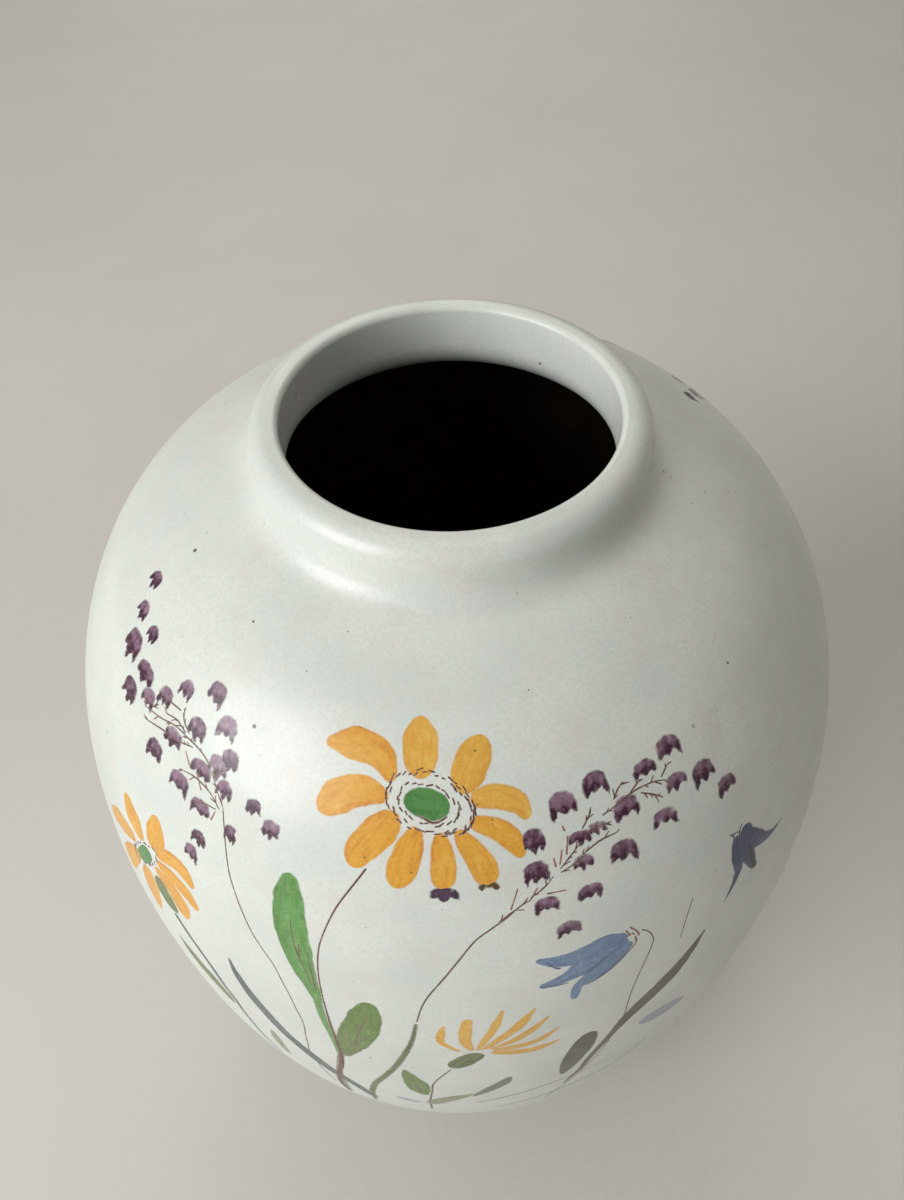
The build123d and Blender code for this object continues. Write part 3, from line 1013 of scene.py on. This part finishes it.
lightBell = {
    "petals": [
        ([(20, 84), (17, 84.5), (14, 83), (11, 83), (8.2, 85)], [3, 6, 6, 4.5, 1.5]),
        ([(20, 83), (17.5, 80.5), (14.5, 78.5), (11.5, 75.5), (8.6, 74)], [2.5, 6.5, 7, 4, 2]),
        ([(20.5, 81.5), (18, 77), (15.5, 73.5), (13.5, 70.5), (13, 64.5)], [2, 5.5, 5.5, 3, 2]),
    ],
    "folds": [
        ([(19.2, 82), (17, 79), (14, 74.5)], [0.4, 0.7, 0.4]),
        ([(9.5, 84), (10.5, 81), (11.3, 80)], [0.4, 0.6]),
        ([(8.6, 74), (10, 73.5), (12.3, 73.2)], [0.5, 0.7, 0.4]),
        ([(20.3, 78.5), (18.3, 74.5), (16, 71.2), (14.5, 70)], [0.4, 0.8, 0.5]),
    ],
    "calyx": [
        [(19.7, 86.5), (20.3, 83.8)], [(20.2, 87.2), (21.2, 84.5), (21.5, 82.3)],
        [(19.5, 83.5), (20.4, 84.6), (20.9, 83.5)],
        [(20.9, 83), (21.1, 80.8), (20.8, 79.6), (20.1, 77.8)],
    ],
    "stems": [
        [(21.8, 84.2), (22.8, 82.3), (23.4, 79.5), (23.5, 77.5), (23.2, 75), (22.3, 69), (21.5, 63.5),
         (20.9, 57),
         (20.6, 50), (20.5, 44.5), (20, 36), (19, 24), (17.5, 10), (15, -10), (12, -35)],
    ],
}


def paintLightBell(name, stand):
    strokes("bell_blue", lightBell["petals"], stand)
    strokes("deep_blue", lightBell["folds"], stand, 1)
    for path in lightBell["calyx"]:
        brush("red_line", path, [0.6, 0.45], stand, 1)
    for path in lightBell["stems"]:
        brush("brown_line", path, [0.45, 0.5, 0.7], stand)
    return finishPainting(name)


darkBell = {
    "petals": [
        ([(37.4, 95), (37.1, 91), (37.3, 86), (37.4, 82), (36.8, 79.2), (36, 76.5), (34.8, 73.5)],
         [2.4, 3, 3.9, 3.4, 2.2, 1.2, 0.4]),
        ([(39.3, 96), (39.2, 90), (39.4, 85), (40, 81), (40.6, 76.5)], [4.2, 5.8, 5.6, 3.8, 1.6]),
        ([(39.2, 93.5), (40.4, 89), (42.2, 85.4), (44.2, 83.2), (45.7, 82.8), (47.3, 83)],
         [3.4, 5.6, 5.6, 3.4, 1.5, 0.5]),
    ],
    "folds": [
        ([(38.8, 97.2), (38, 95.2), (37.8, 89.2)], [0.5, 0.8, 0.4]),
        ([(37.8, 87.2), (38.8, 83.8), (39.8, 81.8)], [0.4, 0.9, 0.7]),
        ([(39.6, 88), (40, 83), (40.9, 76.3)], [1, 2, 1.6]),
        ([(36.5, 82), (36.3, 78.5), (34.8, 73.5)], [0.4, 0.9, 0.3]),
        ([(44.5, 84), (46, 83), (47.4, 82.8)], [0.4, 0.9, 0.3]),
    ],
    "hooks": [[(36.2, 96.8), (37, 96.2), (37.9, 95.8)], [(36.8, 96.3), (37, 94.6)]],
    "stem": [(29.5, 85.5), (28.6, 80), (27.6, 72)],
}


def paintDarkBell(name, stand):
    strokes("deep_blue", darkBell["petals"], stand)
    strokes("ink_blue", darkBell["folds"], stand, 1)
    for path in darkBell["hooks"]:
        brush("ink_blue", path, [0.5, 0.4], stand, 1)
    brush("brown_line", darkBell["stem"], [0.2, 0.3, 0.3], stand)
    return finishPainting(name)


grasses = [
    ("grey_blade", [(-31.7, 60), (-31, 52.5), (-29.6, 43), (-27.8, 33), (-25.8, 22), (-23, 10), (-20.8, 0),
                    (-18.5, -10),
                    (-16.5, -20), (-15, -34)], [1, 3.4, 4.6, 4.8, 5, 5.4, 5.5, 5, 4.5, 4]),
    ("olive_wash", [(-28, -12), (-28.3, -5), (-28.5, 5), (-28.5, 15)], [2, 4, 4, 1.5]),
    ("olive_wash", [(0.6, -3.5), (-0.8, -7), (-2.5, -11), (-4.3, -17), (-6, -25)], [1, 5, 6, 6, 3]),
    ("grey_wash", [(5.6, 15.5), (4.6, 9), (3.4, 4), (2, -1.5), (0.6, -7.5)], [1.6, 4.5, 4.6, 3.4, 1.2]),
    ("dark_blade", [(15.9, 40), (15.4, 34), (14.9, 27), (14.2, 20), (13.7, 12), (13.2, 4)],
     [4, 7.4, 8, 7, 5, 1.6]),
    ("dark_blade", [(31.8, 67.5), (29.5, 61), (26.8, 54), (24, 48), (21.5, 41.5), (20, 35), (18.8, 28),
                    (17.5, 20),
                    (16.5, 12), (16, 4), (14, -12)], [0.8, 4, 6.2, 6.2, 4.8, 3, 2.6, 2.4, 2, 1.6, 1.2]),
    ("lavender_wash", [(23.5, 29), (26, 27.5), (28.8, 26), (31.2, 24)], [5, 9, 9, 3]),
    ("lavender_wash", [(-11, -19), (-9.2, -22), (-7.4, -24)], [3, 6, 3]),
    ("grey_wash", [(1, -19.5), (6.5, -12), (12, -5.2), (21.2, 0.5)], [0.8, 1.3, 1, 0.6]),
    ("grey_wash", [(4, -36), (12.8, -24.5), (22.2, -14.2), (27, 0.8)], [0.9, 1.5, 1.2, 0.8]),
]


def paintGrasses(name, stand, chosen):
    for i in chosen:
        paint, path, widths = grasses[i]
        brush(paint, path, widths, stand)
    return finishPainting(name)


specks = [(-74.5, 130.5), (-27.5, 150), (-23, 161), (36, 156), (77.5, 166), (77, 157), (80.5, 150),
          (71.5, 160),
          (53.5, 159), (-59, 171), (15, 171), (62, 128), (-12, 96), (12, 150), (48, 141), (88, 120)]


def paintSpecks(name, stand):
    for t, c in specks:
        size = rng.uniform(0.35, 0.7)
        path = [(t, c), (t + rng.uniform(-0.15, 0.15), c + size * 0.5)]
        brush("iron_black", path, [size * 0.7, size * 0.5], stand)
    for _ in range(60):
        t, c, size = rng.uniform(0, 360), rng.uniform(-60, 158), rng.uniform(0.12, 0.4)
        brush("iron_black", [(t, c), (t + 0.1, c + size * 0.5)], [size * 0.7, size * 0.5], stand)
    return finishPainting(name)


paintDaisyLeaves("daisy_leaves", front)
paintBigDaisy("big_daisy", front)
paintHeather("right_heather", rightHeather, front)
paintHeather("left_heather", leftHeather, front)
paintSideDaisy("side_daisy", front)
paintHalfDaisy("half_daisy", front)
paintLightBell("light_bell", front)
paintDarkBell("dark_bell", front)
paintGrasses("front_grasses", front, range(len(grasses)))
paintSpecks("iron_specks", front)
print("front painted")

# the same plants go on round the back, each at its own turn, some of them the other way round
shoulderSpray = {"turn": 181, "climb": 4}
paintHeather("back_tall_heather", leftHeather, shoulderSpray)
paintSideDaisy("back_side_daisy", {"turn": 66, "climb": -6, "flip": -1})
paintHalfDaisy("back_half_daisy", {"turn": 139, "climb": 12, "flip": -1})
backDaisy = {"turn": 168, "climb": -8, "flip": -1}
paintDaisyLeaves("back_daisy_leaves", backDaisy)
paintBigDaisy("back_big_daisy", backDaisy, False)
paintHeather("back_low_heather", rightHeather, {"turn": 212, "climb": -2})
paintDarkBell("back_dark_bell", {"turn": 158, "climb": -14})
paintLightBell("back_light_bell", {"turn": 276, "climb": 6, "flip": -1})
paintGrasses("back_right_grasses", {"turn": 112, "climb": 4}, (0, 2, 4, 6, 8))
paintGrasses("back_middle_grasses", {"turn": 186, "climb": 0, "flip": -1}, (0, 1, 3, 5, 7))
paintGrasses("back_left_grasses", {"turn": 258, "climb": 6}, (0, 2, 3, 4, 5, 8))
print("back painted")

# ---- light, floor and camera

stage = {
    "floor": 3.0,
    "floorTone": (214, 210, 204),
    "keyPlace": (-1.3, -0.9, 0.9),  # a wide window to the left, a little in front
    "keySize": 1.2,
    "keyPower": 28,
    "topPlace": (0.1, 0.3, 1.8),
    "topPower": 5.5,
    "floorLight": (-0.2, 1.9, 1.3),  # behind, for the floor only
    "floorPower": 9,
    "room": 0.21,
    "lens": 26.0,
    "eye": (-0.00085, -0.1666, 0.4358),
    "lookDown": 50.84,
    "roll": -1.68,
}
clearSelection()
bpy.ops.mesh.primitive_plane_add(size=stage["floor"] * 2, location=(0, 0, 0))
floor = bpy.context.object
floor.name = "floor"
floorPaint, w = newMaterial("floor_paint")
spot = w.add("TexCoord").outputs["Object"]
shade = w.mix(w.ramp(w.noise(spot, 3, 3), 0.3, 0.7), tone(*stage["floorTone"]), tone(209, 205, 199))
w.finish(shade, w.ramp(w.noise(spot, 20, 2), 0.3, 0.7, (0.6, 0.7)), w.bump(w.noise(spot, 300, 2), 0.0001),
         {})
floor.data.materials.append(floorPaint)


def addArea(name, place, aim, size, power, colour):
    bpy.ops.object.light_add(type="AREA", location=place)
    lamp = bpy.context.object
    lamp.name = name
    lamp.data.shape = "SQUARE"
    lamp.data.size = size
    lamp.data.energy = power
    lamp.data.color = colour
    lamp.rotation_euler = (Vector(aim) - Vector(place)).to_track_quat("-Z", "Y").to_euler()
    return lamp


addArea("key_light", stage["keyPlace"], (0, 0, 0.2), stage["keySize"], stage["keyPower"], (0.97, 0.99, 1))
addArea("floor_light", stage["floorLight"], (0, 1.3, 0), stage["keySize"], stage["floorPower"],
        (1, 0.97, 0.93))
addArea("top_light", stage["topPlace"], (0, 0, 0.2), stage["keySize"], stage["topPower"], (1, 0.97, 0.92))
world = bpy.data.worlds.new("room")
bpy.context.scene.world = world
world.use_nodes = True
background = world.node_tree.nodes["Background"]
background.inputs["Color"].default_value = (1, 0.965, 0.89, 1)
background.inputs["Strength"].default_value = stage["room"]

bpy.ops.object.camera_add(location=stage["eye"])
camera = bpy.context.object
camera.data.lens = stage["lens"]
camera.data.clip_start = 0.01
tilt = Matrix.Rotation(math.radians(90 - stage["lookDown"]), 4, "X")
turned = Matrix.Rotation(math.radians(stage["roll"]), 4, "Z")
camera.matrix_world = Matrix.Translation(stage["eye"]) @ tilt @ turned
bpy.context.scene.camera = camera
bpy.context.scene.view_settings.view_transform = "Standard"
print("stage set")
